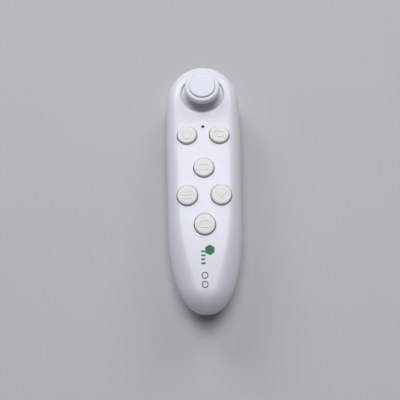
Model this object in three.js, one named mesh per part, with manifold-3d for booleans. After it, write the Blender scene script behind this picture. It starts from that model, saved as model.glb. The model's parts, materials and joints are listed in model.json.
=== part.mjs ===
// A one-handed wireless motion controller: a wand-shaped white case with a thumbstick, six round
// buttons, two nose triggers, a side mode switch and a battery bay for two AAA cells.
// Millimetres, +Y towards the nose, +Z up, origin under the middle of the case on its resting face.
import * as THREE from "three";
import { LoftGeometry } from "three/addons/geometries/LoftGeometry.js";
import { mergeVertices } from "three/addons/utils/BufferGeometryUtils.js";
import Module from "manifold-3d";

const wasm = await Module();
wasm.setup();

// ---- Driving dimensions -------------------------------------------------------------------
const HALF_LENGTH = 64;
const WALL = 1.8; // case wall
const PARTING_Z = 12.4; // height of the joint between the two case halves
const PARTING_GAP = 0.15;
const GAP = 0.3; // clearance round pieces that sit in a cut-out

// Outline from above: a straight middle with a superellipse end at the nose and at the tail.
const TAIL_HALF_WIDTH = 17.7;
const NOSE_HALF_WIDTH = 18.8;
const WIDENS_FROM = -20;
const WIDENS_TO = 25;
const NOSE_END = { from: 42.5, power: 1.95 };
const TAIL_END = { from: -14.5, power: 2.37 };

// The flat tongue of the top face, which the rounded sides fall away from.
const FACE_SHARE = 0.64; // of the half width, where it is widest
const FACE_NOSE_FROM = 36;
const CREST = { y: -5, z: 24.3, radius: 800 };
const CROSSFALL = 0.04; // share of the height lost at the edge of the face
const ROLL_NOSE = { from: 50, power: 2.2 };
const ROLL_TAIL = { from: -53.5, power: 2 };
const SIDE_POWER = 2.1;
const TAIL_SIDE = { to: -45, power: 1.8 }; // the upper side is less square towards the tail

// The underside: a flat land, a finger groove and two ends that sweep up.
const LAND_HALF_WIDTH = 8;
const LAND_FROM = -46;
const LAND_TO = 42;
const GROOVE = { from: 3, to: 29, depth: 2.4 };
const NOSE_LIFT = 11;
const TAIL_LIFT = 7;
const SWEEP = 3; // how late the ends sweep up

// Buttons.
const BUTTON_RADIUS = 4.7;
const BUTTON_PROUD = 1.05;
const BUTTON_EDGE = 0.7;
const BUTTONS = [
  { name: "power_button", x: -7.8, y: 19.1 },
  { name: "back_button", x: 7.8, y: 19.1 },
  { name: "upper_button", x: 0, y: 1.8 },
  { name: "left_button", x: -7.8, y: -11.9 },
  { name: "right_button", x: 7.8, y: -11.9 },
  { name: "lower_button", x: 0, y: -25.7 },
];

// Circuit board and what stands on it.
const BOARD_TOP = 15.55;
const BOARD_THICKNESS = 1;
const BOARD_HALF_WIDTH = 14;
const SWITCH_SIZE = 6;
const SWITCH_TOP = 18.9;
const PLUNGER_RADIUS = 1.1;
const BOSS_BOTTOM = 20;
const LED_Y = 23.7;
const LED_HOLE_RADIUS = 0.8;

// Thumbstick.
const STICK_Y = 43;
const PIVOT_Z = 9.3;
const WELL_RADIUS = 11;
const SKIRT_RADIUS = 16;
const SKIRT_WALL = 1.1;
const SKIRT_HALF_ANGLE = 61;
const CAP_TOP = 29.8;
const CAP_RADIUS = 8.8;
const PAD_RADIUS = 6.3;
const SHAFT_RADIUS = 1.5;
const FRAME_HALF = 6;
const FRAME_BOTTOM = PIVOT_Z - 3.75;
const FRAME_TOP = PIVOT_Z + 5.25;
const STICK_BOARD_TOP = FRAME_BOTTOM - 0.2;
const SHEET = 0.6; // thickness of the bent metal frame
const AXLE_RADIUS = 0.9;

// Triggers in the nose.
const TRIGGER = { inner: 0.9, outer: 9.2, bottom: 6.9, top: 10.8 };
const TRIGGER_MID_X = 5.1;
const TRIGGER_Z = 9.8;

// Battery bay.
const CELL_RADIUS = 5.2;
const CELL_LENGTH = 43.7;
const CELL_X = 5.5;
const CELL_Z = 8;
const CELL_FROM = -43.2;
const BAY = { halfWidth: 11.1, from: -46.4, to: 3.6, bottom: 7.9, roof: 13.6 };
const DOOR = { halfWidth: 10.8, from: -47.4, to: 3.9 };

// Side mode switch.
const MODE = { y: 19, halfTravel: 1, z: 12.8 };

// Case screws: two ahead of the battery bay and two behind it.
const SCREWS = [
  { x: -12, y: 28.5 },
  { x: 12, y: 28.5 },
  { x: -6.5, y: -51.5 },
  { x: 6.5, y: -51.5 },
];
const POST_RADIUS = 2.5;

// ---- Materials -----------------------------------------------------------------------------
const plastic = (color, roughness) => new THREE.MeshStandardMaterial({ color, roughness, metalness: 0 });
const metal = (color, roughness) => new THREE.MeshStandardMaterial({ color, roughness, metalness: 1 });
const CASE_WHITE = plastic("#e9ebf3", 0.35);
const BUTTON_WHITE = plastic("#e3e7df", 0.45);
const STICK_WHITE = plastic("#eceef5", 0.4);
const BLACK_PLASTIC = plastic("#1c1d20", 0.6);
const CLEAR_PLASTIC = plastic("#3a3d42", 0.15);
const BOARD_GREEN = plastic("#1f5a37", 0.5);
const STEEL = metal("#b9bcc2", 0.35);
const CELL_SLEEVE = plastic("#2f6ea8", 0.35);

// ---- Solids --------------------------------------------------------------------------------
function solid(geometry) {
  const bare = new THREE.BufferGeometry();
  bare.setAttribute("position", geometry.getAttribute("position"));
  bare.setIndex(geometry.index);
  const merged = mergeVertices(bare, 1e-4);
  const corners = merged.index.array;
  const kept = [];
  for (let i = 0; i < corners.length; i += 3) {
    const [a, b, c] = corners.slice(i, i + 3);
    if (a !== b && b !== c && a !== c) kept.push(a, b, c);
  }
  return new wasm.Manifold(
    new wasm.Mesh({
      numProp: 3,
      vertProperties: merged.attributes.position.array,
      triVerts: Uint32Array.from(kept),
    }),
  );
}

function geometryOf(body) {
  const mesh = body.getMesh();
  const geometry = new THREE.BufferGeometry();
  geometry.setAttribute("position", new THREE.BufferAttribute(Float32Array.from(mesh.vertProperties), 3));
  geometry.setIndex(new THREE.BufferAttribute(Uint32Array.from(mesh.triVerts), 1));
  geometry.computeVertexNormals();
  return geometry;
}

function block(x0, x1, y0, y1, z0, z1) {
  const geometry = new THREE.BoxGeometry(x1 - x0, y1 - y0, z1 - z0);
  geometry.translate((x0 + x1) / 2, (y0 + y1) / 2, (z0 + z1) / 2);
  return solid(geometry);
}

// A solid of revolution about Z from an outline of [radius, height] points, listed upwards.
function turned(outline, sides = 24) {
  const points = outline.map(([r, z]) => new THREE.Vector2(r, z));
  return solid(new THREE.LatheGeometry(points, sides).rotateX(Math.PI / 2));
}

const rod = (radius, z0, z1, sides = 20) =>
  turned([[0, z0], [radius, z0], [radius, z1], [0, z1]], sides);
const rodAlongY = (radius, y0, y1, sides = 16) => rod(radius, -y1, -y0, sides).rotate([90, 0, 0]);
const rodAlongX = (radius, x0, x1, sides = 16) => rod(radius, x0, x1, sides).rotate([0, 90, 0]);
const at = (body, x, y, z = 0) => body.translate([x, y, z]);

const object = new THREE.Group();
function piece(name, body, material) {
  const mesh = new THREE.Mesh(geometryOf(body), material);
  mesh.name = name;
  object.add(mesh);
}

// ---- The case surface ------------------------------------------------------------------------
const TIP = 0.9995; // keeps the last section of an end just open
function endFade(y, from, reach, power) {
  const along = Math.max(0, (y - from) / reach);
  return (1 - TIP * Math.min(1, along) ** power) ** (1 / power);
}

const smooth = (t) => {
  const u = Math.min(1, Math.max(0, t));
  return u * u * (3 - 2 * u);
};

function halfWidth(y, inset) {
  const step = smooth((y - WIDENS_FROM) / (WIDENS_TO - WIDENS_FROM));
  const base = TAIL_HALF_WIDTH + (NOSE_HALF_WIDTH - TAIL_HALF_WIDTH) * step - inset;
  const nose = endFade(y, NOSE_END.from, HALF_LENGTH - inset - NOSE_END.from, NOSE_END.power);
  const tail = endFade(-y, -TAIL_END.from, HALF_LENGTH - inset + TAIL_END.from, TAIL_END.power);
  return base * nose * tail;
}

// Share of the half width that is flat on top, falling to nothing at both tips.
function faceShare(y) {
  const nose = Math.max(0, (y - FACE_NOSE_FROM) / (HALF_LENGTH - FACE_NOSE_FROM));
  const tail = Math.max(0, -y / HALF_LENGTH);
  return FACE_SHARE * (1 - nose ** 2) * (1 - tail ** 3);
}

function roll(y, inset) {
  const reach = HALF_LENGTH - inset;
  const nose = endFade(y, ROLL_NOSE.from, reach - ROLL_NOSE.from, ROLL_NOSE.power);
  const tail = endFade(-y, -ROLL_TAIL.from, reach + ROLL_TAIL.from, ROLL_TAIL.power);
  return nose * tail;
}

const crown = (y) => CREST.z - (y - CREST.y) ** 2 / (2 * CREST.radius);

function underside(y) {
  const groove = Math.min(1, Math.max(0, (y - GROOVE.from) / (GROOVE.to - GROOVE.from)));
  const nose = Math.max(0, (y - LAND_TO) / (HALF_LENGTH - LAND_TO));
  const tail = Math.max(0, (LAND_FROM - y) / (HALF_LENGTH + LAND_FROM));
  return GROOVE.depth * Math.sin(Math.PI * groove) ** 2 + NOSE_LIFT * nose ** SWEEP + TAIL_LIFT * tail ** SWEEP;
}

const rise = (y, inset) => (crown(y) - inset - PARTING_Z) * roll(y, inset);
const topHeight = (x, y) =>
  PARTING_Z + rise(y, 0) * (1 - CROSSFALL * (x / halfWidth(y, 0)) ** 2);

const sidePower = (y) => SIDE_POWER + (TAIL_SIDE.power - SIDE_POWER) * smooth(y / TAIL_SIDE.to);

// One closed cross-section, anticlockwise as seen from the nose end.
function section(y, inset, cornerSteps, faceSteps) {
  const w = halfWidth(y, inset);
  const face = w * faceShare(y);
  const land = Math.min(LAND_HALF_WIDTH, 0.55 * w);
  const up = rise(y, inset);
  const down = (PARTING_Z - underside(y) - inset) * roll(y, inset);
  const power = sidePower(y);
  const half = [];
  for (let i = 0; i <= cornerSteps; i += 1) {
    const angle = (Math.PI / 2) * (i / cornerSteps);
    const x = face + (w - face) * Math.cos(angle) ** (2 / power);
    half.push([x, PARTING_Z + up * (1 - CROSSFALL * (x / w) ** 2) * Math.sin(angle) ** (2 / power)]);
  }
  for (let i = 1; i < faceSteps; i += 1) {
    const x = face * (1 - i / faceSteps);
    half.push([x, PARTING_Z + up * (1 - CROSSFALL * (x / w) ** 2)]);
  }
  const lower = [];
  for (let i = 1; i <= cornerSteps; i += 1) {
    const angle = (Math.PI / 2) * (i / cornerSteps);
    const x = land + (w - land) * Math.cos(angle) ** (2 / SIDE_POWER);
    lower.push([x, PARTING_Z - down * Math.sin(angle) ** (2 / SIDE_POWER)]);
  }
  const right = [...lower.reverse(), ...half];
  const left = right.map(([x, z]) => [-x, z]).reverse();
  const middle = faceSteps > 1 ? [[0, PARTING_Z + up]] : [];
  return [...right, ...middle, ...left]
    .map(([x, z]) => new THREE.Vector3(x, y, z))
    .reverse();
}

function caseBody(inset, rows, cornerSteps, faceSteps) {
  const sections = [];
  for (let i = 0; i <= rows; i += 1) {
    const y = (HALF_LENGTH - inset) * Math.sin((Math.PI / 2) * ((2 * i) / rows - 1));
    sections.push(section(y, inset, cornerSteps, faceSteps));
  }
  return solid(new LoftGeometry(sections, { capStart: true, capEnd: true }));
}

const outer = caseBody(0, 34, 5, 2);
const inner = caseBody(WALL, 22, 4, 1);
const skin = outer.subtract(inner);

const FAR = 80;
const above = block(-FAR, FAR, -FAR, FAR, PARTING_Z + PARTING_GAP / 2, FAR);
const below = block(-FAR, FAR, -FAR, FAR, -FAR, PARTING_Z - PARTING_GAP / 2);

// ---- Upper case half -------------------------------------------------------------------------
function modeSlot() {
  const halfSlot = MODE.halfTravel + 2;
  return block(-FAR, -15.5, MODE.y - halfSlot, MODE.y + halfSlot, MODE.z - 1.4, MODE.z + 1.4);
}

function upperShell() {
  let shell = skin.intersect(above);
  for (const { x, y } of SCREWS) {
    shell = shell.add(at(rod(POST_RADIUS, PARTING_Z + 0.2, CREST.z, 12), x, y).intersect(outer));
    shell = shell.subtract(at(rod(0.9, PARTING_Z - 1, PARTING_Z + 6, 10), x, y));
  }
  const well = rod(WELL_RADIUS, 0, FAR, 36);
  const bowl = wasm.Manifold.sphere(SKIRT_RADIUS + GAP, 48).translate([0, 0, PIVOT_Z]);
  shell = shell.subtract(at(well.add(bowl), 0, STICK_Y));
  for (const { x, y } of BUTTONS) {
    shell = shell.subtract(at(rod(BUTTON_RADIUS + GAP, PARTING_Z + 2, FAR, 24), x, y));
  }
  shell = shell.subtract(at(rod(LED_HOLE_RADIUS, PARTING_Z + 2, FAR, 16), 0, LED_Y));
  return shell.subtract(modeSlot());
}
piece("upper_shell", upperShell(), CASE_WHITE);

// ---- Lower case half -------------------------------------------------------------------------
function triggerBox(side, grow, y0 = 50) {
  const x0 = TRIGGER.inner - grow;
  const x1 = TRIGGER.outer + grow;
  const lo = Math.min(side * x0, side * x1);
  const hi = Math.max(side * x0, side * x1);
  return block(lo, hi, y0, FAR, TRIGGER.bottom - grow, TRIGGER.top + grow);
}

function lowerShell() {
  let shell = skin.intersect(below);
  for (const y of [37.5, 46.5]) {
    shell = shell.add(block(-8, 8, y - 0.6, y + 0.6, 1, STICK_BOARD_TOP - 1));
  }
  for (const { x, y } of SCREWS) {
    const post = at(rod(POST_RADIUS + 0.5, 0, PARTING_Z - 0.2, 12), x, y).intersect(outer);
    shell = shell.add(post);
    shell = shell.subtract(at(rod(1.2, 0, FAR, 10), x, y));
    shell = shell.subtract(at(rod(2.2, -1, PARTING_Z - 6, 12), x, y));
  }
  shell = shell.subtract(
    block(-DOOR.halfWidth - GAP, DOOR.halfWidth + GAP, DOOR.from - GAP, DOOR.to + GAP, -1, 5),
  );
  for (const side of [-1, 1]) {
    shell = shell.subtract(triggerBox(side, GAP));
  }
  return shell.subtract(modeSlot());
}
piece("lower_shell", lowerShell(), CASE_WHITE);

function batteryDoor() {
  const reach = block(-DOOR.halfWidth, DOOR.halfWidth, DOOR.from, DOOR.to, -1, 5);
  const grip = [0, 1, 2].map((i) => block(-5, 5, DOOR.from + 3 + 1.6 * i, DOOR.from + 3.7 + 1.6 * i, -1, 0.35));
  let door = skin.intersect(reach);
  for (const groove of grip) door = door.subtract(groove);
  return door;
}
piece("battery_door", batteryDoor(), CASE_WHITE);

function caseScrew() {
  const headTop = PARTING_Z - 6.2;
  const slot = 0.25;
  const drive = headTop - 1.6;
  const tip = PARTING_Z + 4;
  return turned([[0, drive], [1.9, drive], [1.9, headTop], [0.8, headTop], [0.8, tip], [0, tip]], 12)
    .subtract(block(-1.2, 1.2, -slot, slot, drive - 1, drive + 0.6))
    .subtract(block(-slot, slot, -1.2, 1.2, drive - 1, drive + 0.6));
}
SCREWS.forEach(({ x, y }, i) => piece(`case_screw_${i + 1}`, at(caseScrew(), x, y), STEEL));

// ---- Buttons, each with its plunger and its switch ---------------------------------------------
function buttonCap(x, y) {
  const top = topHeight(x, y) + BUTTON_PROUD;
  const earTop = topHeight(x, y) - WALL - 0.35;
  const earBottom = earTop - 0.7;
  const roof = top - 1.4;
  const edge = [0, 1, 2].map((i) => {
    const angle = (Math.PI / 2) * (i / 2);
    return [
      BUTTON_RADIUS - BUTTON_EDGE + BUTTON_EDGE * Math.cos(angle),
      top - BUTTON_EDGE + BUTTON_EDGE * Math.sin(angle),
    ];
  });
  const cap = turned(
    [
      [0, BOSS_BOTTOM],
      [1.5, BOSS_BOTTOM],
      [1.5, roof],
      [3.6, roof],
      [3.6, earBottom],
      [BUTTON_RADIUS, earBottom],
      ...edge,
      [0, top + 0.12],
    ],
    20,
  );
  const ears = block(-1.5, 1.5, -BUTTON_RADIUS - 1.2, BUTTON_RADIUS + 1.2, earBottom, earTop).subtract(
    block(-2, 2, -BUTTON_RADIUS + 0.4, BUTTON_RADIUS - 0.4, 0, FAR),
  );
  return cap.add(ears);
}

function tactSwitch(bottom, top) {
  const half = SWITCH_SIZE / 2;
  return block(-half, half, -half, half, bottom, top).subtract(
    rod(PLUNGER_RADIUS + 0.25, bottom + 1, top + 1, 12),
  );
}

for (const { name, x, y } of BUTTONS) {
  const place = name.replace("_button", "");
  piece(name, at(buttonCap(x, y), x, y), BUTTON_WHITE);
  piece(`${place}_plunger`, at(rod(PLUNGER_RADIUS, SWITCH_TOP - 1.2, BOSS_BOTTOM - 0.15, 12), x, y), BLACK_PLASTIC);
  piece(`${place}_switch`, at(tactSwitch(BOARD_TOP + 0.1, SWITCH_TOP), x, y), STEEL);
}

// ---- Main board --------------------------------------------------------------------------------
function mainBoard() {
  const outline = new THREE.Shape();
  const nose = 27;
  const tail = -46;
  outline.moveTo(-8.5, nose);
  outline.lineTo(-BOARD_HALF_WIDTH, nose - 5);
  outline.lineTo(-BOARD_HALF_WIDTH, tail + 14);
  outline.quadraticCurveTo(-BOARD_HALF_WIDTH + 0.6, tail + 4, -9.5, tail);
  outline.lineTo(9.5, tail);
  outline.quadraticCurveTo(BOARD_HALF_WIDTH - 0.6, tail + 4, BOARD_HALF_WIDTH, tail + 14);
  outline.lineTo(BOARD_HALF_WIDTH, nose - 5);
  outline.lineTo(8.5, nose);
  const sheet = new THREE.ExtrudeGeometry(outline, {
    depth: BOARD_THICKNESS,
    bevelEnabled: false,
    curveSegments: 4,
  });
  return at(solid(sheet), 0, 0, BOARD_TOP - BOARD_THICKNESS);
}
const BOARD_BOTTOM = BOARD_TOP - BOARD_THICKNESS;
piece("main_board", mainBoard(), BOARD_GREEN);
piece("radio_chip", block(-3, 3, 9, 15, BOARD_BOTTOM - 1, BOARD_BOTTOM - 0.1), BLACK_PLASTIC);
piece("crystal", block(5, 8.2, 10, 12.5, BOARD_BOTTOM - 1, BOARD_BOTTOM - 0.1), STEEL);
piece("indicator_led", block(-0.8, 0.8, LED_Y - 0.5, LED_Y + 0.5, BOARD_TOP + 0.1, BOARD_TOP + 0.9), CLEAR_PLASTIC);

function lightPipe() {
  const roof = topHeight(0, LED_Y);
  const foot = roof - WALL - 1.2;
  const base = BOARD_TOP + 1.4;
  const tip = roof - 1.1;
  return turned(
    [[0, base], [0.8, base], [0.8, foot], [1.4, foot], [1.4, foot + 0.9], [0.5, foot + 0.9], [0.5, tip], [0, tip]],
    12,
  );
}
piece("light_pipe", at(lightPipe(), 0, LED_Y), CLEAR_PLASTIC);

// ---- Thumbstick ----------------------------------------------------------------------------------
function thumbstickCap() {
  const rimMid = CAP_TOP - 2;
  const rimRadius = 1.4;
  const rim = [-60, -20, 20, 55, 85].map((degrees) => {
    const angle = THREE.MathUtils.degToRad(degrees);
    return [CAP_RADIUS - rimRadius + rimRadius * Math.cos(angle), rimMid + rimRadius * Math.sin(angle)];
  });
  return turned(
    [
      [SHAFT_RADIUS + 0.15, CAP_TOP - 4.3],
      [3.2, CAP_TOP - 4.3],
      [3.6, CAP_TOP - 4],
      [6.4, CAP_TOP - 3.5],
      ...rim,
      [PAD_RADIUS + 0.5, CAP_TOP - 0.65],
      [PAD_RADIUS + 0.2, CAP_TOP - 0.85],
      [PAD_RADIUS + 0.2, CAP_TOP - 1.3],
      [0, CAP_TOP - 1.3],
      [0, CAP_TOP - 1.9],
      [SHAFT_RADIUS + 0.15, CAP_TOP - 1.9],
      [SHAFT_RADIUS + 0.15, CAP_TOP - 4.3],
    ],
    28,
  );
}

function thumbstickPad() {
  return turned(
    [
      [0, CAP_TOP - 1.2],
      [PAD_RADIUS, CAP_TOP - 1.2],
      [PAD_RADIUS, CAP_TOP - 0.35],
      [PAD_RADIUS - 0.4, CAP_TOP],
      [0, CAP_TOP + 0.15],
    ],
    28,
  );
}

const onSphere = (radius, degrees) => {
  const angle = THREE.MathUtils.degToRad(degrees);
  return [radius * Math.sin(angle), PIVOT_Z + radius * Math.cos(angle)];
};

function thumbstickSkirt() {
  const steps = 6;
  const first = 7.5;
  const outline = [];
  for (let i = 0; i <= steps; i += 1) {
    outline.push(onSphere(SKIRT_RADIUS - SKIRT_WALL, first + ((SKIRT_HALF_ANGLE - first) * i) / steps));
  }
  for (let i = steps; i >= 0; i -= 1) {
    outline.push(onSphere(SKIRT_RADIUS, first + ((SKIRT_HALF_ANGLE - first) * i) / steps));
  }
  outline.push(outline[0]);
  return turned(outline, 30);
}

function stickShaft() {
  const shaft = turned(
    [[0, PIVOT_Z - 1.6], [SHAFT_RADIUS, PIVOT_Z - 1.6], [SHAFT_RADIUS, CAP_TOP - 2.1], [0, CAP_TOP - 2.1]],
    14,
  );
  return shaft.add(at(rodAlongY(0.55, -2.3, 2.3, 8), 0, 0, PIVOT_Z));
}

function joystickFrame() {
  const h = FRAME_HALF;
  const i = h - SHEET;
  return block(-h, h, -h, h, FRAME_BOTTOM, FRAME_TOP)
    .subtract(block(-i, i, -i, i, FRAME_BOTTOM - 1, FRAME_TOP - SHEET))
    .subtract(rod(4.2, FRAME_TOP - 2, FRAME_TOP + 1, 20))
    .subtract(at(rodAlongX(AXLE_RADIUS + 0.15, -FAR, FAR), 0, 0, PIVOT_Z))
    .subtract(at(rodAlongY(AXLE_RADIUS + 0.15, -FAR, FAR), 0, 0, PIVOT_Z));
}

function tiltRing() {
  return block(-3.6, 3.6, -2.4, 2.4, -0.9, 0.9)
    .add(rodAlongX(AXLE_RADIUS, -6.4, 7.9, 12))
    .subtract(block(-2.4, 2.4, -1.8, 1.8, -2, 2))
    .subtract(rodAlongY(0.7, -4, 4, 8))
    .translate([0, 0, PIVOT_Z]);
}

function tiltArch() {
  const outerRadius = 3.9;
  const innerRadius = 3.1;
  const arch = rodAlongX(outerRadius, -2.9, 2.9, 28)
    .subtract(rodAlongX(innerRadius, -FAR, FAR, 28))
    .subtract(block(-FAR, FAR, -FAR, FAR, -FAR, 0))
    .subtract(block(-1.9, 1.9, -2.7, 2.7, 0, FAR));
  const ends = block(-2.9, 2.9, -outerRadius, -innerRadius, -0.9, 0.1).add(
    block(-2.9, 2.9, innerRadius, outerRadius, -0.9, 0.1),
  );
  const axles = rodAlongY(AXLE_RADIUS, -7.9, -innerRadius, 12).add(rodAlongY(AXLE_RADIUS, innerRadius, 6.4, 12));
  return arch.add(ends).add(axles).translate([0, 0, PIVOT_Z]);
}

const potBody = block(6.3, 8.9, -3.6, 3.6, -3.35, 3.45).subtract(
  rodAlongX(AXLE_RADIUS + 0.2, 6, 8.3, 12),
);

class Coil extends THREE.Curve {
  constructor(radiusFrom, radiusTo, height, turns) {
    super();
    Object.assign(this, { radiusFrom, radiusTo, height, turns });
  }
  getPoint(t) {
    const angle = 2 * Math.PI * this.turns * t;
    const radius = this.radiusFrom + (this.radiusTo - this.radiusFrom) * t;
    return new THREE.Vector3(radius * Math.cos(angle), radius * Math.sin(angle), this.height * t);
  }
}

function coil(radiusFrom, radiusTo, height, turns, wire) {
  const round = new THREE.Shape();
  round.absarc(0, 0, wire, 0, 2 * Math.PI);
  const curve = new Coil(radiusFrom, radiusTo, height, turns);
  return solid(
    new THREE.ExtrudeGeometry(round, { steps: turns * 9, curveSegments: 2, bevelEnabled: false, extrudePath: curve }),
  );
}

piece("thumbstick_cap", at(thumbstickCap(), 0, STICK_Y), STICK_WHITE);
piece("thumbstick_pad", at(thumbstickPad(), 0, STICK_Y), STICK_WHITE);
piece("thumbstick_skirt", at(thumbstickSkirt(), 0, STICK_Y), STICK_WHITE);
piece("stick_shaft", at(stickShaft(), 0, STICK_Y), BLACK_PLASTIC);
piece("joystick_frame", at(joystickFrame(), 0, STICK_Y), STEEL);
piece("tilt_ring", at(tiltRing(), 0, STICK_Y), BLACK_PLASTIC);
piece("tilt_arch", at(tiltArch(), 0, STICK_Y), BLACK_PLASTIC);
piece("side_sensor", at(potBody, 0, STICK_Y, PIVOT_Z), BLACK_PLASTIC);
piece("rear_sensor", at(potBody.rotate([0, 0, -90]), 0, STICK_Y, PIVOT_Z), BLACK_PLASTIC);
piece("return_spring", at(coil(2.6, 2.6, 1.3, 3, 0.2), 0, STICK_Y, FRAME_BOTTOM + 0.2), STEEL);
piece(
  "joystick_board",
  block(-9, 9, 35, 48.5, STICK_BOARD_TOP - 0.9, STICK_BOARD_TOP),
  BOARD_GREEN,
);

// ---- Triggers ------------------------------------------------------------------------------------
const triggerSkinDepth = caseBody(WALL + 0.6, 30, 5, 2);
const triggerFlangeOuter = caseBody(WALL + 0.25, 30, 5, 2);
const triggerFlangeInner = caseBody(WALL + 0.85, 30, 5, 2);

function trigger(side) {
  const key = outer.subtract(triggerSkinDepth).intersect(triggerBox(side, 0));
  const flange = triggerFlangeOuter.subtract(triggerFlangeInner).intersect(triggerBox(side, 0.55, 54));
  const stem = block(-1, 1, 57.75, HALF_LENGTH - 2.3, TRIGGER_Z - 0.9, TRIGGER_Z + 0.9)
    .translate([side * TRIGGER_MID_X, 0, 0])
    .intersect(outer);
  return key.add(flange).add(stem);
}

function triggerSwitch() {
  return block(-2, 2, 53.3, 55.9, -1.2, 1.2).subtract(rodAlongY(0.95, 54, 58, 10));
}

for (const [name, side] of [["left_trigger", -1], ["right_trigger", 1]]) {
  piece(name, trigger(side), BUTTON_WHITE);
  piece(`${name}_plunger`, at(rodAlongY(0.7, 55, 57.6, 10), side * TRIGGER_MID_X, 0, TRIGGER_Z), BLACK_PLASTIC);
  piece(`${name}_switch`, at(triggerSwitch(), side * TRIGGER_MID_X, 0, TRIGGER_Z), STEEL);
}
piece("trigger_board", block(-8.5, 8.5, 52.2, 53.2, 5.6, 11.2), BOARD_GREEN);

// ---- Mode switch -----------------------------------------------------------------------------------
function modeKnob() {
  const y = MODE.y - MODE.halfTravel;
  return block(-18.2, -16.4, y - 1.7, y + 1.7, MODE.z - 1.1, MODE.z + 1.1)
    .add(block(-16.6, -14.7, y - 0.8, y + 0.8, MODE.z - 0.6, MODE.z + 0.6))
    .subtract(block(-19, -17.9, y - 0.3, y + 0.3, 0, FAR));
}
piece("mode_knob", modeKnob(), BLACK_PLASTIC);
piece(
  "mode_switch",
  block(-16.1, -11.6, MODE.y - 3.5, MODE.y + 3.5, MODE.z - 1.7, BOARD_BOTTOM - 0.1).subtract(
    block(-FAR, -14.3, MODE.y - 2.2, MODE.y + 2.2, MODE.z - 0.9, MODE.z + 0.9),
  ),
  STEEL,
);

// ---- Battery bay -------------------------------------------------------------------------------------
function batteryTray() {
  const wall = 1;
  return block(
    -BAY.halfWidth - wall,
    BAY.halfWidth + wall,
    BAY.from - wall,
    BAY.to + wall,
    BAY.bottom,
    BAY.roof + 0.7,
  ).subtract(block(-BAY.halfWidth, BAY.halfWidth, BAY.from, BAY.to, 0, BAY.roof));
}
piece("battery_tray", batteryTray(), BLACK_PLASTIC);

function cell(direction) {
  const shoulder = CELL_LENGTH - 0.6;
  const sleeve = turned(
    [
      [0, 0],
      [CELL_RADIUS - 0.3, 0],
      [CELL_RADIUS, 0.3],
      [CELL_RADIUS, shoulder - 0.3],
      [CELL_RADIUS - 0.4, shoulder],
      [1.9, shoulder],
      [1.9, CELL_LENGTH],
      [0, CELL_LENGTH],
    ],
    20,
  );
  const along = sleeve.rotate([-90, 0, 0]);
  return direction > 0 ? along : along.rotate([0, 0, 180]).translate([0, CELL_LENGTH, 0]);
}
piece("left_cell", at(cell(1), -CELL_X, CELL_FROM, CELL_Z), CELL_SLEEVE);
piece("right_cell", at(cell(-1), CELL_X, CELL_FROM, CELL_Z), CELL_SLEEVE);

// A spring contact at the flat end of each cell and a plate at its raised end.
function springContact() {
  const plate = block(-4, 4, -4, 4, 0, 0.4);
  return plate.add(coil(3.4, 2.4, 2.2, 3, 0.3).translate([0, 0, 0.5]));
}
const plateContact = block(-4, 4, -4, 4, 0, 0.4).add(rod(1.6, 0.2, 1, 12));
const facingNose = (body) => body.rotate([-90, 0, 0]);
const facingTail = (body) => body.rotate([90, 0, 0]);
piece("left_spring_contact", at(facingNose(springContact()), -CELL_X, BAY.from + 0.1, CELL_Z), STEEL);
piece("left_plate_contact", at(facingTail(plateContact), -CELL_X, BAY.to - 0.1, CELL_Z), STEEL);
piece("right_spring_contact", at(facingTail(springContact()), CELL_X, BAY.to - 0.1, CELL_Z), STEEL);
piece("right_plate_contact", at(facingNose(plateContact), CELL_X, BAY.from + 0.1, CELL_Z), STEEL);

export default object;
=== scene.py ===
"""A wand-shaped motion controller in white plastic, lit softly from beyond its nose.

Lengths in the tables below are millimetres, in the frame of the object; the meshes are metres.
"""

import json
import math

import bmesh
import bpy
import numpy as np
from mathutils import Matrix, Vector


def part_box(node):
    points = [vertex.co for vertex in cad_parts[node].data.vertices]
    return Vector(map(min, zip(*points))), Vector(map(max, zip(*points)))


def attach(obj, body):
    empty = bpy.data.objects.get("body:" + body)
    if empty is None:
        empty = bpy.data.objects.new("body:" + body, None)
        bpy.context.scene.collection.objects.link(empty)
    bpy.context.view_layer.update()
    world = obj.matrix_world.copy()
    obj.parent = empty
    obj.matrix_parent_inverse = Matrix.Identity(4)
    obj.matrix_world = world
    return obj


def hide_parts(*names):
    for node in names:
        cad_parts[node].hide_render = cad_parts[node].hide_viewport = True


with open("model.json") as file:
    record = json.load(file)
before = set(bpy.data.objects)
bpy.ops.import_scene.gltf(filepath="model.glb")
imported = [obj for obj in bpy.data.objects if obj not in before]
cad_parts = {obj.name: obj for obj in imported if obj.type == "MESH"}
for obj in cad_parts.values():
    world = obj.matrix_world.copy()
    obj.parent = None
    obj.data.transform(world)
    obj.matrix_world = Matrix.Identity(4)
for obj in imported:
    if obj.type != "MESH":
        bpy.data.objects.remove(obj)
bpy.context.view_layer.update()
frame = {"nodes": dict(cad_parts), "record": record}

MM = 0.001

# ---- Sizes that the solid parts have too --------------------------------------------------------
HALF_LENGTH = 64.0
WALL = 1.8
PARTING_Z = 12.4
PARTING_GAP = 0.15
GAP = 0.3
TAIL_HALF_WIDTH = 17.7
NOSE_HALF_WIDTH = 18.8
WIDENS_FROM, WIDENS_TO = -20.0, 25.0
NOSE_END_FROM, NOSE_END_POWER = 42.5, 1.95
TAIL_END_FROM, TAIL_END_POWER = 14.5, 2.37
FACE_SHARE = 0.64
FACE_NOSE_FROM = 36.0
CREST_Y, CREST_Z, CREST_RADIUS = -5.0, 24.3, 800.0
CROSSFALL = 0.04
ROLL_NOSE_FROM, ROLL_NOSE_POWER = 50.0, 2.2
ROLL_TAIL_FROM, ROLL_TAIL_POWER = 53.5, 2.0
SIDE_POWER, TAIL_SIDE_POWER, TAIL_SIDE_TO = 2.1, 1.8, 45.0
LAND_HALF_WIDTH = 8.0
LAND_FROM, LAND_TO = -46.0, 42.0
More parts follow.
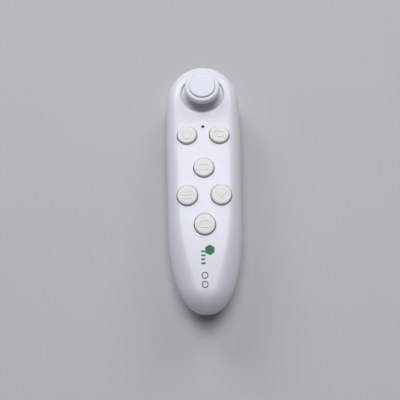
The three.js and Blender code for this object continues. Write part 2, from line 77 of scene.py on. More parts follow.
GROOVE_FROM, GROOVE_TO, GROOVE_DEPTH = 3.0, 29.0, 2.4
NOSE_LIFT, TAIL_LIFT, SWEEP = 11.0, 7.0, 3

STICK_Y, PIVOT_Z = 43.0, 9.3
WELL_RADIUS = 11.0
CAP_TOP, CAP_RADIUS, CAP_ROUND = 29.8, 8.8, 1.4
PAD_RADIUS = 6.3
SKIRT_RADIUS, SKIRT_WALL, SKIRT_HALF_ANGLE = 16.0, 1.1, 61.0
BUTTON_RADIUS, BUTTON_PROUD = 4.7, 1.05
BOSS_RADIUS, BOSS_BOTTOM, HOLLOW_RADIUS = 1.5, 20.0, 3.6
LED_Y, LED_HOLE_RADIUS = 23.7, 0.8
MODE_Y, MODE_Z = 19.0, 12.8
MODE_HALF_SLOT, MODE_HALF_HEIGHT, MODE_SLOT_TO = 3.0, 1.4, -15.5
DOOR_HALF_WIDTH, DOOR_FROM, DOOR_TO = 10.8, -47.4, 3.9
TRIGGER_INNER, TRIGGER_OUTER = 0.9, 9.2
TRIGGER_BOTTOM, TRIGGER_TOP = 6.9, 10.8
SCREWS = [(-12.0, 28.5), (12.0, 28.5), (-6.5, -51.5), (6.5, -51.5)]
POST_RADIUS, POST_DROP, SHANK_BORE, SEAT_DROP = 3.0, 0.2, 1.2, 6

# ---- Sizes of the visible meshes alone --------------------------------------------------------------
TIP = 0.99999
SEAM_STEPS = ((0.075, 1), (0.16, 0.42), (0.3, 0.1))
BUTTON_EDGE, BUTTON_DOME = 0.75, 0.04
SYMBOL_SIZE, SYMBOL_RADIUS = 1.4, 0.17
PAD_EDGE, PAD_EDGE_HEIGHT = 0.85, 0.45
HEAD_BORE = 2.4
FAR = 90.0
FLOOR_HALF = 8000.0


def centre(node):
    """The middle of a part, in millimetres."""
    low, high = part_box(node)
    return (low + high) / 2 / MM


# ---- The case surface ---------------------------------------------------------------------------
def end_fade(y, start, reach, power):
    along = np.clip((y - start) / reach, 0, 1)
    return (1 - TIP * along**power) ** (1 / power)


def smooth_step(t):
    t = min(1.0, max(0.0, t))
    return t * t * (3 - 2 * t)


def side_power(y):
    """How square the upper side is: a little less towards the tail."""
    return SIDE_POWER + (TAIL_SIDE_POWER - SIDE_POWER) * smooth_step(-y / TAIL_SIDE_TO)


def half_width(y, inset=0.0):
    widening = smooth_step((y - WIDENS_FROM) / (WIDENS_TO - WIDENS_FROM))
    base = TAIL_HALF_WIDTH + (NOSE_HALF_WIDTH - TAIL_HALF_WIDTH) * widening - inset
    reach = HALF_LENGTH - inset
    nose = end_fade(y, NOSE_END_FROM, reach - NOSE_END_FROM, NOSE_END_POWER)
    tail = end_fade(-y, TAIL_END_FROM, reach - TAIL_END_FROM, TAIL_END_POWER)
    return base * nose * tail


def face_share(y):
    """Share of the half width that is flat on top, falling to nothing at both tips."""
    nose = max(0.0, (y - FACE_NOSE_FROM) / (HALF_LENGTH - FACE_NOSE_FROM))
    tail = max(0.0, -y / HALF_LENGTH)
    return FACE_SHARE * (1 - nose**2) * (1 - tail**3)


def roll(y, inset=0.0):
    reach = HALF_LENGTH - inset
    nose = end_fade(y, ROLL_NOSE_FROM, reach - ROLL_NOSE_FROM, ROLL_NOSE_POWER)
    tail = end_fade(-y, ROLL_TAIL_FROM, reach - ROLL_TAIL_FROM, ROLL_TAIL_POWER)
    return nose * tail


def crown(y):
    return CREST_Z - (y - CREST_Y) ** 2 / (2 * CREST_RADIUS)


def underside(y):
    groove = np.clip((y - GROOVE_FROM) / (GROOVE_TO - GROOVE_FROM), 0, 1)
    nose = max(0.0, (y - LAND_TO) / (HALF_LENGTH - LAND_TO))
    tail = max(0.0, (LAND_FROM - y) / (HALF_LENGTH + LAND_FROM))
    lift = NOSE_LIFT * nose**SWEEP + TAIL_LIFT * tail**SWEEP
    return GROOVE_DEPTH * math.sin(math.pi * groove) ** 2 + lift


def top_height(x, y):
    rise = (crown(y) - PARTING_Z) * roll(y)
    return PARTING_Z + rise * (1 - CROSSFALL * (x / half_width(y)) ** 2)


def top_slopes(x, y):
    step = 0.5
    along_x = (top_height(x + step, y) - top_height(x - step, y)) / (2 * step)
    along_y = (top_height(x, y + step) - top_height(x, y - step)) / (2 * step)
    return along_x, along_y


def section(y, inset, corner_steps, face_steps, seam):
    """One closed cross-section of the case, as (x, z) pairs. seam softens the edges at the parting line."""
    w = half_width(y, inset)
    face = w * face_share(y)
    land = min(LAND_HALF_WIDTH, 0.55 * w)
    up = (crown(y) - inset - PARTING_Z) * roll(y, inset)
    down = (PARTING_Z - underside(y) - inset) * roll(y, inset)
    angles = np.clip(np.linspace(0, math.pi / 2, corner_steps + 1), 0, math.pi / 2 - 1e-12)
    power = side_power(y)
    across = np.cos(angles) ** (2 / SIDE_POWER)
    height = np.sin(angles) ** (2 / SIDE_POWER)
    upper_x = face + (w - face) * np.cos(angles) ** (2 / power)
    upper_x = np.append(upper_x, face * (1 - np.arange(1, face_steps + 1) / face_steps))
    height_up = np.append(np.sin(angles) ** (2 / power), np.ones(face_steps))
    upper = [(x, PARTING_Z + up * (1 - CROSSFALL * (x / w) ** 2) * h) for x, h in zip(upper_x, height_up)]
    lower_x = land + (w - land) * across
    lower = [(x, PARTING_Z - down * h) for x, h in zip(lower_x, height)]
    lower += [(land * (1 - i / 4), PARTING_Z - down) for i in range(1, 5)]
    edge = [(w, PARTING_Z)]
    if seam:
        tuck = seam * min(1.0, w / 6)
        rise_up = min(1.0, up / 4)
        rise_down = min(1.0, down / 4)
        above = [(w - tuck * share, PARTING_Z + offset * rise_up) for offset, share in SEAM_STEPS]
        below = [(w - tuck * share, PARTING_Z - offset * rise_down) for offset, share in SEAM_STEPS]
        edge = below[::-1] + [(w - tuck, PARTING_Z)] + above
    right = lower[:0:-1] + edge + upper[1:]
    left = [(-x, z) for x, z in right[-2:0:-1]]
    return right + left


# ---- Mesh helpers -------------------------------------------------------------------------------
SHARP = math.radians(32)


def mesh_object(name, points, faces):
    mesh = bpy.data.meshes.new(name)
    mesh.from_pydata([tuple(p) for p in points], [], faces)
    obj = bpy.data.objects.new(name, mesh)
    bpy.context.scene.collection.objects.link(obj)
    return obj


def finish_mesh(obj):
    """Welds, faces outwards and shades smooth apart from true edges."""
    bm = bmesh.new()
    bm.from_mesh(obj.data)
    bmesh.ops.remove_doubles(bm, verts=bm.verts, dist=2e-6)
    bmesh.ops.dissolve_degenerate(bm, edges=bm.edges, dist=1e-7)
    bmesh.ops.recalc_face_normals(bm, faces=bm.faces)
    bm.to_mesh(obj.data)
    bm.free()
    obj.data.shade_smooth()
    obj.data.set_sharp_from_angle(angle=SHARP)
    return obj


def loft(name, rings):
    """A closed solid through rings of points, capped at both ends. Points are millimetres."""
    count = len(rings[0])
    points = [Vector(p) * MM for ring in rings for p in ring]
    faces = []
    for row in range(len(rings) - 1):
        for i in range(count):
            a = row * count + i
            b = row * count + (i + 1) % count
            faces.append((a, b, b + count, a + count))
    faces.append(tuple(range(count - 1, -1, -1)))
    faces.append(tuple(range(len(points) - count, len(points))))
    return mesh_object(name, points, faces)


def case_solid(name, inset, rows=190, corner_steps=20, face_steps=9, seam=0.0):
    rings = []
    for i in range(rows + 1):
        y = (HALF_LENGTH - inset) * math.sin(math.pi / 2 * (2 * i / rows - 1))
        rings.append([(x, y, z) for x, z in section(y, inset, corner_steps, face_steps, seam)])
    return outwards(loft(name, rings))


def outwards(obj):
    bm = bmesh.new()
    bm.from_mesh(obj.data)
    bmesh.ops.recalc_face_normals(bm, faces=bm.faces)
    bm.to_mesh(obj.data)
    bm.free()
    return obj


def lathe(name, outline, middle=(0, 0), sides=96, tilt=(0, 0), tilt_from=None):
    """A solid of revolution about Z from (radius, height) pairs that start and end on the axis, or close.

    tilt shears what is above tilt_from, so that a vertical piece can follow a sloping face."""
    closed = outline[0] == outline[-1]
    rims = outline[:-1] if closed else outline
    points, rows = [], []
    for r, z in rims:
        if r < 1e-6:
            rows.append([len(points)])
            points.append((0.0, 0.0, z))
            continue
        rows.append(list(range(len(points), len(points) + sides)))
        for i in range(sides):
            a = 2 * math.pi * i / sides
            points.append((r * math.cos(a), r * math.sin(a), z))
    faces = []
    pairs = list(zip(rows, rows[1:] + ([rows[0]] if closed else [])))
    for low, high in pairs:
        for i in range(sides):
            j = (i + 1) % sides
            if len(low) == 1 and len(high) == 1:
                continue
            if len(low) == 1:
                faces.append((low[0], high[j], high[i]))
            elif len(high) == 1:
                faces.append((low[i], low[j], high[0]))
            else:
                faces.append((low[i], low[j], high[j], high[i]))
    placed = []
    for x, y, z in points:
        if tilt_from is not None and z > tilt_from:
            z += tilt[0] * x + tilt[1] * y
        placed.append(Vector((x + middle[0], y + middle[1], z)) * MM)
    return outwards(mesh_object(name, placed, faces))


def block(name, low, high):
    x0, y0, z0 = low
    x1, y1, z1 = high
    points = [Vector((x, y, z)) * MM for z in (z0, z1) for y in (y0, y1) for x in (x0, x1)]
    faces = [(0, 2, 3, 1), (4, 5, 7, 6), (0, 1, 5, 4), (2, 6, 7, 3), (0, 4, 6, 2), (1, 3, 7, 5)]
    return mesh_object(name, points, faces)


def rounded_block(name, low, high, radius, axis, steps=5):
    """A block whose four edges along axis are rounded."""
    u, v = [i for i in range(3) if i != axis]
    corners = [(high[u], high[v], 0), (low[u], high[v], 90), (low[u], low[v], 180), (high[u], low[v], 270)]
    outline = []
    for cu, cv, start in corners:
        mid_u = cu - math.copysign(radius, cu - (low[u] + high[u]) / 2)
        mid_v = cv - math.copysign(radius, cv - (low[v] + high[v]) / 2)
        for i in range(steps + 1):
            a = math.radians(start + 90 * i / steps)
            outline.append((mid_u + radius * math.cos(a), mid_v + radius * math.sin(a)))
    rings = []
    for level in (low[axis], high[axis]):
        ring = []
        for pu, pv in outline:
            p = [0.0, 0.0, 0.0]
            p[u], p[v], p[axis] = pu, pv, level
            ring.append(tuple(p))
        rings.append(ring)
    return outwards(loft(name, rings))


def combine(obj, cutters, operation="DIFFERENCE"):
    """Cuts obj by each cutter, or joins or keeps what they share, and removes the cutters."""
    for cutter in cutters:
        modifier = obj.modifiers.new("cut", "BOOLEAN")
        modifier.operation = operation
        modifier.solver = "MANIFOLD"
        modifier.object = cutter
        graph = bpy.context.evaluated_depsgraph_get()
        mesh = bpy.data.meshes.new_from_object(obj.evaluated_get(graph))
        obj.modifiers.clear()
        obj.data = mesh
    for cutter in cutters:
        bpy.data.objects.remove(cutter)
    return obj


def copy_of(obj, name):
    other = bpy.data.objects.new(name, obj.data.copy())
    bpy.context.scene.collection.objects.link(other)
    return other


def tube(name, points, radius, closed=False, sides=8):
    """A round wire through points, in millimetres."""
    count = len(points)
    spine = [Vector(p) for p in points]
    rings = []
    for i, p in enumerate(spine):
        before = spine[i - 1] if closed or i else spine[0]
        after = spine[(i + 1) % count] if closed or i < count - 1 else spine[-1]
        along = (after - before).normalized()
        side = along.cross(Vector((0, 0, 1)))
        side = side.normalized() if side.length > 1e-6 else Vector((1, 0, 0))
        up = side.cross(along)
        ring = []
        for k in range(sides):
            a = 2 * math.pi * k / sides
            ring.append((p + side * (radius * math.cos(a)) + up * (radius * math.sin(a))) * MM)
        rings.append(ring)
    verts = [p for ring in rings for p in ring]
    faces = []
    for row in range(count if closed else count - 1):
        following = (row + 1) % count
        for k in range(sides):
            j = (k + 1) % sides
            faces.append((row * sides + k, row * sides + j, following * sides + j, following * sides + k))
    if not closed:
        faces.append(tuple(range(sides - 1, -1, -1)))
        faces.append(tuple(range(len(verts) - sides, len(verts))))
    return outwards(mesh_object(name, verts, faces))


def arc(middle, radius, start, stop, steps):
    """Points of an arc as (x, y) pairs, angles in degrees."""
    return [
        (
            middle[0] + radius * math.cos(math.radians(start + (stop - start) * i / steps)),
            middle[1] + radius * math.sin(math.radians(start + (stop - start) * i / steps)),
        )
        for i in range(steps + 1)
    ]


def hole_cutter(radius, fillet, x, y, depth, sides=96):
    """A round cutter that rounds the edge of the hole it makes in the top face."""
    outline = [(0, -depth), (radius, -depth)]
    for i in range(9):
        a = math.pi / 2 * i / 8
        outline.append((radius + fillet * (1 - math.cos(a)), fillet * (math.sin(a) - 1)))
    outline += [(radius + fillet, 3.0), (0, 3.0)]
    cutter = lathe("cutter", outline, sides=sides)
    slope_x, slope_y = top_slopes(x, y)
    level = top_height(x, y)
    shear = Matrix.Identity(4)
    shear[2][0] = slope_x
    shear[2][1] = slope_y
    cutter.data.transform(Matrix.Translation(Vector((x, y, level)) * MM) @ shear)
    return cutter


# ---- Materials ------------------------------------------------------------------------------------
def material(name, color, roughness, metallic=0.0):
    made = bpy.data.materials.new(name)
    made.use_nodes = True
    shader = made.node_tree.nodes["Principled BSDF"]
    shader.inputs["Base Color"].default_value = (*color, 1)
    shader.inputs["Roughness"].default_value = roughness
    shader.inputs["Metallic"].default_value = metallic
    return made, made.node_tree, shader


def noise(tree, scale, detail=3.0, stretch=(1, 1, 1)):
    coordinates = tree.nodes.new("ShaderNodeTexCoord")
    mapping = tree.nodes.new("ShaderNodeMapping")
    mapping.inputs["Scale"].default_value = stretch
    texture = tree.nodes.new("ShaderNodeTexNoise")
    texture.inputs["Scale"].default_value = scale
    texture.inputs["Detail"].default_value = detail
    tree.links.new(coordinates.outputs["Object"], mapping.inputs["Vector"])
    tree.links.new(mapping.outputs["Vector"], texture.inputs["Vector"])
    return texture.outputs["Fac"]


def spread(tree, value, low, high):
    span = tree.nodes.new("ShaderNodeMapRange")
    span.inputs["To Min"].default_value = low
    span.inputs["To Max"].default_value = high
    tree.links.new(value, span.inputs["Value"])
    return span.outputs["Result"]


def vary_color(tree, shader, value, dark, light):
    mix = tree.nodes.new("ShaderNodeMix")
    mix.data_type = "RGBA"
    mix.inputs["A"].default_value = (*dark, 1)
    mix.inputs["B"].default_value = (*light, 1)
    tree.links.new(value, mix.inputs["Factor"])
    tree.links.new(mix.outputs["Result"], shader.inputs["Base Color"])


def add_bump(tree, shader, value, height, strength=1.0):
    bump = tree.nodes.new("ShaderNodeBump")
    bump.inputs["Strength"].default_value = strength
    bump.inputs["Distance"].default_value = height
    tree.links.new(value, bump.inputs["Height"])
    tree.links.new(bump.outputs["Normal"], shader.inputs["Normal"])


def moulded_plastic(name, color, roughness, grain=2600, grain_height=4e-6, shade=0.03, coat=0.0):
    """Injection-moulded plastic: a fine skin grain, slow changes of tone and uneven gloss."""
    made, tree, shader = material(name, color, roughness)
    slow = noise(tree, 45, 2)
    dark = tuple(c * (1 - shade) for c in color)
    vary_color(tree, shader, slow, dark, color)
    gloss = noise(tree, 260, 4)
    rough = spread(tree, gloss, roughness - 0.05, roughness + 0.06)
    tree.links.new(rough, shader.inputs["Roughness"])
    add_bump(tree, shader, noise(tree, grain, 2), grain_height)
    if coat:
        shader.inputs["Coat Weight"].default_value = coat
        shader.inputs["Coat Roughness"].default_value = 0.2
    return made


def printed_ink(name, color):
    made, tree, shader = material(name, color, 0.5)
    vary_color(tree, shader, noise(tree, 900, 4), tuple(c * 0.86 for c in color), color)
    return made


def plated_steel(name, color, roughness):
    made, tree, shader = material(name, color, roughness, metallic=1.0)
    streaks = noise(tree, 500, 3, stretch=(1, 8, 1))
    tree.links.new(spread(tree, streaks, roughness - 0.08, roughness + 0.1), shader.inputs["Roughness"])
    add_bump(tree, shader, streaks, 3e-6)
    return made


def circuit_green(name):
    made, tree, shader = material(name, (0.02, 0.13, 0.06), 0.4)
    weave = noise(tree, 700, 1, stretch=(1, 4, 1))
    vary_color(tree, shader, weave, (0.012, 0.09, 0.04), (0.03, 0.17, 0.075))
    add_bump(tree, shader, weave, 2e-5)
    return made


CASE = moulded_plastic("case_white", (0.80, 0.815, 0.85), 0.36, shade=0.02, coat=0.15)
KEY = moulded_plastic("button_white", (0.84, 0.865, 0.80), 0.48, shade=0.02)
STICK = moulded_plastic("stick_white", (0.82, 0.835, 0.87), 0.42, shade=0.02)
PAD = moulded_plastic("stick_pad", (0.87, 0.89, 0.96), 0.5, grain=3600, grain_height=6e-6, shade=0.02)
BLACK = moulded_plastic("black_plastic", (0.02, 0.02, 0.023), 0.55, shade=0.3)
SMOKED = moulded_plastic("smoked_plastic", (0.008, 0.008, 0.01), 0.2, shade=0.2)
SLEEVE = moulded_plastic("cell_sleeve", (0.03, 0.12, 0.3), 0.3, shade=0.15)
BOARD = circuit_green("circuit_board")
STEEL = plated_steel("steel", (0.55, 0.56, 0.58), 0.3)
GREEN_INK = printed_ink("green_ink", (0.005, 0.17, 0.05))
GREY_INK = printed_ink("grey_ink", (0.16, 0.16, 0.19))
MATERIALS = {
    "case_white": CASE,
    "button_white": KEY,
    "stick_white": STICK,
    "stick_pad": PAD,
    "black_plastic": BLACK,
    "smoked_plastic": SMOKED,
    "cell_sleeve": SLEEVE,
    "circuit_board": BOARD,
    "steel": STEEL,
}


def dress(obj, look, body, slot, *replaced):
    obj.data.materials.clear()
    obj.data.materials.append(look)
    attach(obj, body)
    if replaced:
        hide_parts(*replaced)
    return obj


# ---- Case halves, door and triggers ---------------------------------------------------------------
outer = case_solid("outer", 0.0, seam=0.13)
inner = case_solid("inner", WALL, rows=90, corner_steps=12, face_steps=4)


def mode_slot():
    y0, y1 = MODE_Y - MODE_HALF_SLOT, MODE_Y + MODE_HALF_SLOT
    low = (-FAR, y0, MODE_Z - MODE_HALF_HEIGHT)
    high = (MODE_SLOT_TO, y1, MODE_Z + MODE_HALF_HEIGHT)
    return rounded_block("slot", low, high, 0.5, 0)


def upper_shell():
    """The upper half, without the screw posts that the solid part has inside."""
    above = block("above", (-FAR, -FAR, PARTING_Z + PARTING_GAP / 2), (FAR, FAR, FAR))
    shell = combine(copy_of(outer, "upper_shell_skin"), [above], "INTERSECT")
    combine(shell, [copy_of(inner, "hollow")])
    reach = SKIRT_RADIUS + GAP
    bowl = [(reach * math.sin(a), PIVOT_Z - reach * math.cos(a)) for a in np.linspace(0, math.pi, 49)]
    combine(shell, [lathe("bowl", [(max(0.0, r - 1e-9), z) for r, z in bowl], (0, STICK_Y), 160)])
    combine(shell, [hole_cutter(WELL_RADIUS, 0.4, 0, STICK_Y, 9, sides=160)])
    for node in BUTTON_NODES:
        x, y = centre(node)[:2]
        combine(shell, [hole_cutter(BUTTON_RADIUS + GAP, 0.22, x, y, 7)])
    combine(shell, [hole_cutter(LED_HOLE_RADIUS, 0.08, 0, LED_Y, 5, sides=40), mode_slot()])
    return dress(finish_mesh(shell), CASE, "case", "case_white", "upper_shell")


def trigger_window(side, grow, radius):
    x0, x1 = sorted((side * (TRIGGER_INNER - grow), side * (TRIGGER_OUTER + grow)))
    low = (x0, 50, TRIGGER_BOTTOM - grow)
    high = (x1, FAR, TRIGGER_TOP + grow)
    return rounded_block("window", low, high, radius, 1)


def lower_shell():
    """The lower half with its screw posts, without the two ribs inside that carry a board."""
    below = block("below", (-FAR, -FAR, -FAR), (FAR, FAR, PARTING_Z - PARTING_GAP / 2))
    shell = combine(copy_of(outer, "lower_shell_skin"), [below], "INTERSECT")
    combine(shell, [copy_of(inner, "hollow")])
    for x, y in SCREWS:
        post_top = PARTING_Z - POST_DROP
        profile = [(0, -FAR), (POST_RADIUS, -FAR), (POST_RADIUS, post_top), (0, post_top)]
        post = lathe("post", profile, (x, y), 48)
        combine(post, [copy_of(outer, "limit")], "INTERSECT")
        combine(shell, [post], "UNION")
        seat = PARTING_Z - SEAT_DROP
        head = [(0, -FAR), (HEAD_BORE, -FAR), (HEAD_BORE, seat)]
        bore = [*head, (SHANK_BORE, seat), (SHANK_BORE, FAR), (0, FAR)]
        combine(shell, [lathe("bore", bore, (x, y), 48)])
    opening = rounded_block(
        "opening",
        (-DOOR_HALF_WIDTH - GAP, DOOR_FROM - GAP, -1),
        (DOOR_HALF_WIDTH + GAP, DOOR_TO + GAP, 5),
        1.5,
        2,
    )
    windows = [trigger_window(side, GAP, 1.3) for side in (-1, 1)]
    combine(shell, [opening, *windows, mode_slot()])
    return dress(finish_mesh(shell), CASE, "case", "case_white", "lower_shell")


def battery_door():
    """The door, with five tapering grip grooves where the solid part has three straight ones."""
    reach = rounded_block(
        "reach", (-DOOR_HALF_WIDTH, DOOR_FROM, -1), (DOOR_HALF_WIDTH, DOOR_TO, 5), 1.2, 2
    )
    door = combine(copy_of(outer, "battery_door_panel"), [reach], "INTERSECT")
    combine(door, [copy_of(inner, "hollow")])
    for i in range(5):
        y = DOOR_FROM + 2.6 + 1.5 * i
        half = 5.5 - 0.7 * i
        combine(door, [rounded_block("grip", (-half, y, -1), (half, y + 0.7, 0.4), 0.34, 2)])
    return dress(finish_mesh(door), CASE, "battery_door", "case_white", "battery_door")


def trigger(side):
    """The outer key of a trigger, without the flange and the stem hidden behind it."""
    name = "left_trigger" if side < 0 else "right_trigger"
    key = combine(copy_of(outer, f"{name}_key"), [trigger_window(side, 0, 1.0)], "INTERSECT")
    depth = case_solid("depth", WALL + 0.6, rows=90, corner_steps=12, face_steps=4)
    combine(key, [depth])
    soften(key, 0.25)
    return dress(finish_mesh(key), KEY, name, "button_white", name)


def soften(obj, radius, segments=3):
    """Rounds the sharp edges of a mesh."""
    modifier = obj.modifiers.new("bevel", "BEVEL")
    modifier.width = radius * MM
    modifier.segments = segments
    modifier.limit_method = "ANGLE"
    modifier.angle_limit = math.radians(40)
    graph = bpy.context.evaluated_depsgraph_get()
    mesh = bpy.data.meshes.new_from_object(obj.evaluated_get(graph))
    obj.modifiers.clear()
    obj.data = mesh


# ---- Buttons ---------------------------------------------------------------------------------------
BUTTON_NODES = [n for n in frame["nodes"] if n.endswith("_button")]


def button_outline(top, bottom):
    roof = top - 1.4
    outline = [(0, BOSS_BOTTOM), (BOSS_RADIUS, BOSS_BOTTOM), (BOSS_RADIUS, roof)]
    outline += [(HOLLOW_RADIUS, roof), (HOLLOW_RADIUS, bottom), (BUTTON_RADIUS, bottom)]
    rim = BUTTON_RADIUS - BUTTON_EDGE
    for i in range(9):
        a = math.pi / 2 * i / 8
        outline.append((rim + BUTTON_EDGE * math.cos(a), top - BUTTON_EDGE + BUTTON_EDGE * math.sin(a)))
    for share in (0.75, 0.5, 0.25, 0):
        outline.append((rim * share, top + BUTTON_DOME * (1 - share**2)))
    return outline


def symbol_strokes(kind):
    """Raised strokes on a button: plain signs, as lists of (x, y) and whether they close."""
    if kind == "power":
        return [(arc((0, -0.1), 1.5, 125, 415, 20), False), ([(0, 0.5), (0, 2.0)], False)]
    if kind == "back":
        bend = [(-1.6, 0.9), (0.7, 0.9), *arc((0.7, -0.1), 1.0, 90, -90, 8), (-0.9, -1.1)]
        return [(bend, False), ([(-0.7, 1.8), (-1.7, 0.9), (-0.7, 0.0)], False)]
    if kind == "upper":
        return [([(-1.6, 1.0), (1.6, 1.0), (1.6, -1.0), (-1.6, -1.0)], True)]
    if kind == "left":
        return [([(-1.6, y), (1.6, y)], False) for y in (1.1, 0, -1.1)]
    if kind == "right":
        return [([(-1.7, 0.9), (0, -0.9), (1.7, 0.9)], False)]
    return [(arc((-0.7, 0), 1.1, 90, 270, 8) + arc((0.7, 0), 1.1, -90, 90, 8), True)]


def button(node):
    """A cap with its raised sign, without the two ears hidden inside the case."""
    kind = node.replace("_button", "")
    x, y = centre(node)[:2]
    top = top_height(x, y) + BUTTON_PROUD
    bottom = top_height(x, y) - WALL - 1.05
    slopes = top_slopes(x, y)
    cap = lathe(f"{kind}_cap", button_outline(top, bottom), (x, y), 72, slopes, bottom + 1)
    dress(finish_mesh(cap), KEY, f"{kind}_key", "button_white", node)
    for i, (stroke, closed) in enumerate(symbol_strokes(kind)):
        path = []
        for sx, sy in ((SYMBOL_SIZE * px, SYMBOL_SIZE * py) for px, py in stroke):
            z = top + BUTTON_DOME * (1 - (math.hypot(sx, sy) / 4) ** 2) + slopes[0] * sx + slopes[1] * sy
            path.append((x + sx, y + sy, z - 0.02))
        mark = tube(f"{kind}_symbol_{i + 1}", path, SYMBOL_RADIUS, closed)
        dress(finish_mesh(mark), KEY, f"{kind}_key", "button_white")


# ---- Thumbstick --------------------------------------------------------------------------------------
def thumbstick_cap():
    rim_mid = CAP_TOP - 2
    outline = [(1.65, CAP_TOP - 4.3), (3.2, CAP_TOP - 4.3), (3.45, CAP_TOP - 4.15)]
    for i in range(1, 8):
        share = i / 7
        outline.append((3.45 + 3.95 * share, CAP_TOP - 4.15 + 0.75 * share**1.5))
    for i in range(15):
        a = math.radians(-75 + 160 * i / 14)
        reach = CAP_RADIUS - CAP_ROUND + CAP_ROUND * math.cos(a)
        outline.append((reach, rim_mid + CAP_ROUND * math.sin(a)))
    outline += [
        (PAD_RADIUS + 0.5, CAP_TOP - 0.6),
        (PAD_RADIUS + 0.25, CAP_TOP - 0.62),
        (PAD_RADIUS + 0.17, CAP_TOP - 0.72),
        (PAD_RADIUS + 0.16, CAP_TOP - 1.3),
        (0, CAP_TOP - 1.3),
        (0, CAP_TOP - 1.9),
        (1.65, CAP_TOP - 1.9),
        (1.65, CAP_TOP - 4.3),
    ]
    cap = lathe("thumbstick_top", outline, (0, STICK_Y), 128)
    dress(finish_mesh(cap), STICK, "stick", "stick_white", "thumbstick_cap")


def thumbstick_pad():
    outline = [(0, CAP_TOP - 1.2), (PAD_RADIUS, CAP_TOP - 1.2)]
    for i in range(9):
        a = math.pi / 2 * i / 8
        reach = PAD_RADIUS - PAD_EDGE + PAD_EDGE * math.cos(a)
        outline.append((reach, CAP_TOP - PAD_EDGE_HEIGHT + PAD_EDGE_HEIGHT * math.sin(a)))
    for share in (0.8, 0.6, 0.4, 0.2, 0):
        outline.append(((PAD_RADIUS - PAD_EDGE) * share, CAP_TOP + 0.14 * (1 - share**2)))
    pad = lathe("thumbstick_insert", outline, (0, STICK_Y), 128)
    dress(finish_mesh(pad), PAD, "stick", "stick_pad", "thumbstick_pad")


def thumbstick_skirt():
    first, steps = 7.5, 28
    angles = [math.radians(first + (SKIRT_HALF_ANGLE - first) * i / steps) for i in range(steps + 1)]
    inside = SKIRT_RADIUS - SKIRT_WALL
    outline = [(inside * math.sin(a), PIVOT_Z + inside * math.cos(a)) for a in angles]
    outline += [(SKIRT_RADIUS * math.sin(a), PIVOT_Z + SKIRT_RADIUS * math.cos(a)) for a in angles[::-1]]
    outline.append(outline[0])
    skirt = lathe("thumbstick_dome", outline, (0, STICK_Y), 128)
    dress(finish_mesh(skirt), STICK, "stick", "stick_white", "thumbstick_skirt")


# ---- Printed marks -------------------------------------------------------------------------------------
def print_patch(name, outline, look):
    """A thin film of ink on the top face, from its outline in (x, y)."""
    rings = []
    for lift in (-0.03, 0.02):
        rings.append([(x, y, top_height(x, y) + lift) for x, y in outline])
    patch = outwards(loft(name, rings))
    dress(patch, look, "case", "case_white")


def bar(x0, x1, y0, y1):
    return [(x0, y0), (x1, y0), (x1, y1), (x0, y1)]


def hexagon(middle, radius):
    """A six-sided outline with rounded corners."""
    outline = []
    for i in range(6):
        corner = math.radians(60 * i + 30)
        reach = radius - 0.5
        at = (middle[0] + reach * math.cos(corner), middle[1] + reach * math.sin(corner))
        outline += arc(at, 0.5, 60 * i, 60 * i + 60, 4)
    return outline


def printed_marks():
    print_patch("green_hexagon", hexagon((1.9, -37.2), 2.3), GREEN_INK)
    for i in range(4):
        y = -38.2 - 1.75 * i
        print_patch(f"green_bar_{i + 1}", bar(-1.9, -0.3 + 0.25 * (i % 2), y, y + 0.8), GREEN_INK)
    for i in range(2):
        middle = (-0.45, -48.2 - 3.9 * i)
        ring = arc(middle, 1.5, 0, 350, 35) + arc(middle, 1.0, 350, 0, 35)
        print_patch(f"grey_ring_{i + 1}", ring, GREY_INK)


# ---- Build the object -------------------------------------------------------------------------------
upper_shell()
lower_shell()
battery_door()
for trigger_side in (-1, 1):
    trigger(trigger_side)
for button_node in BUTTON_NODES:
    button(button_node)
thumbstick_cap()
thumbstick_pad()
thumbstick_skirt()
printed_marks()
for scratch in (outer, inner):
    bpy.data.objects.remove(scratch)

for part in frame["record"]["subparts"]:
    node = frame["nodes"][part["node"]]
    node.data.materials.clear()
    node.data.materials.append(MATERIALS[part["material_slot"]])


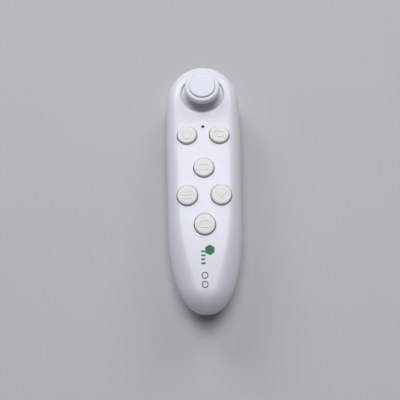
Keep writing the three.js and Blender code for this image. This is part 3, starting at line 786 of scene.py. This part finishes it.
# ---- Stage, light and camera ----------------------------------------------------------------------
def floor():
    sheet = block("floor", (-FLOOR_HALF, -FLOOR_HALF, -1), (FLOOR_HALF, FLOOR_HALF, 0))
    made, tree, shader = material("floor", (0.54, 0.54, 0.54), 0.8)
    vary_color(tree, shader, noise(tree, 12, 3), (0.52, 0.52, 0.52), (0.56, 0.56, 0.56))
    sheet.data.materials.append(made)


def area_light(name, position, target, size, watts, color):
    data = bpy.data.lights.new(name, "AREA")
    data.shape = "RECTANGLE"
    data.size, data.size_y = size
    data.energy = watts
    data.color = color
    lamp = bpy.data.objects.new(name, data)
    lamp.location = position
    lamp.rotation_euler = (Vector(target) - Vector(position)).to_track_quat("-Z", "Y").to_euler()
    bpy.context.scene.collection.objects.link(lamp)


def surroundings(strength):
    world = bpy.data.worlds.new("studio")
    world.use_nodes = True
    world.node_tree.nodes["Background"].inputs["Color"].default_value = (0.86, 0.9, 1.0, 1)
    world.node_tree.nodes["Background"].inputs["Strength"].default_value = strength
    bpy.context.scene.world = world


def camera():
    """A close camera over the tail end, tipped towards the nose."""
    azimuth, elevation, twist = map(math.radians, (1.68, 70.96, -2.77))
    distance = 0.1972
    target = Vector((-0.00207, -0.01268, 0.020))
    across = math.cos(elevation)
    back = Vector((math.sin(azimuth) * across, -math.cos(azimuth) * across, math.sin(elevation)))
    level = Vector((math.cos(azimuth), math.sin(azimuth), 0))
    upright = back.cross(level)
    right = math.cos(twist) * level + math.sin(twist) * upright
    up = -math.sin(twist) * level + math.cos(twist) * upright
    data = bpy.data.cameras.new("camera")
    data.sensor_width = 36
    data.lens = 38.05
    data.clip_start = 0.01
    eye = bpy.data.objects.new("camera", data)
    turn = Matrix((right, up, back)).transposed().to_4x4()
    eye.matrix_world = Matrix.Translation(target + back * distance) @ turn
    bpy.context.scene.collection.objects.link(eye)
    bpy.context.scene.camera = eye


floor()
area_light("left_window", (-1.4, 2.3, 1.45), (0, 0, 0.01), (1.2, 1.2), 28, (0.95, 0.98, 1.02))
area_light("right_window", (1.4, 2.3, 1.45), (0, 0, 0.01), (1.2, 1.2), 21, (1.0, 0.985, 0.93))
area_light("high_window", (0.0, 1.05, 2.8), (0, 0, 0.01), (1.6, 1.6), 52, (0.965, 0.975, 1.05))
surroundings(0.11)
camera()
bpy.context.scene.view_settings.view_transform = "Standard"
